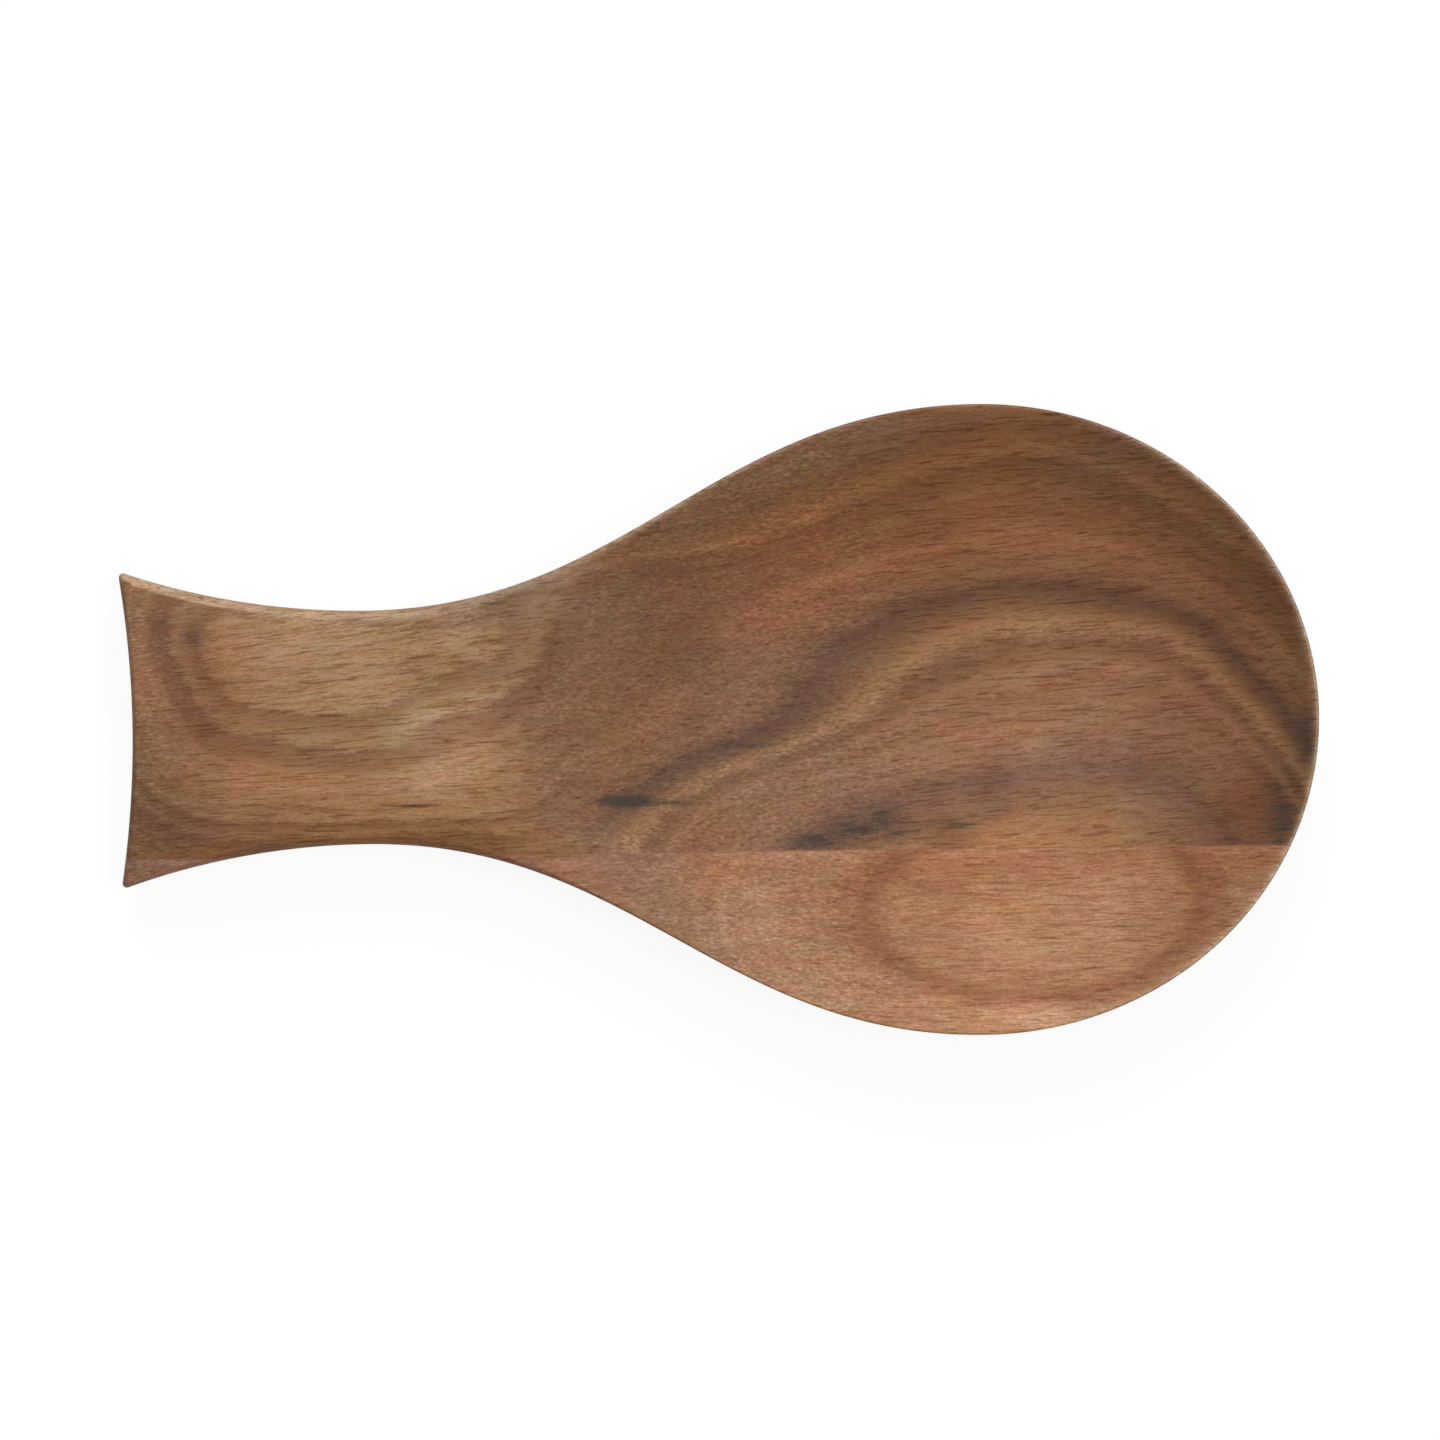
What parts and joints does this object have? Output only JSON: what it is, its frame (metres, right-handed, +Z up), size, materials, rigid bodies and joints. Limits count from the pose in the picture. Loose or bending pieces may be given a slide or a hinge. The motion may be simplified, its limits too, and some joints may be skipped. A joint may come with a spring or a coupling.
{
  "type": "spoon rest",
  "caption": "Carved wooden spoon rest with a round dished bowl and a crowned handle that flares to a hollow-ended tail, made of edge-glued staves.",
  "frame": {"origin": "middle of the part's length and width, on the surface that it rests on", "axes": "+X along the long axis towards the bowl, +Y across it away from the narrow stave, +Z up out of the dish"},
  "size_m": [0.24, 0.126, 0.02],
  "materials": {
    "main_stave_wood": "oiled acacia, sanded satin",
    "side_stave_wood": "oiled acacia, sanded satin",
    "wood_glue": "cured wood glue, sanded flush"
  },
  "bodies": {
    "root": {"main_stave": "main_stave_wood", "side_stave_bowl": "side_stave_wood", "side_stave_tail": "side_stave_wood", "glue_line_bowl": "wood_glue", "glue_line_tail": "wood_glue"}
  },
  "joints": []
}
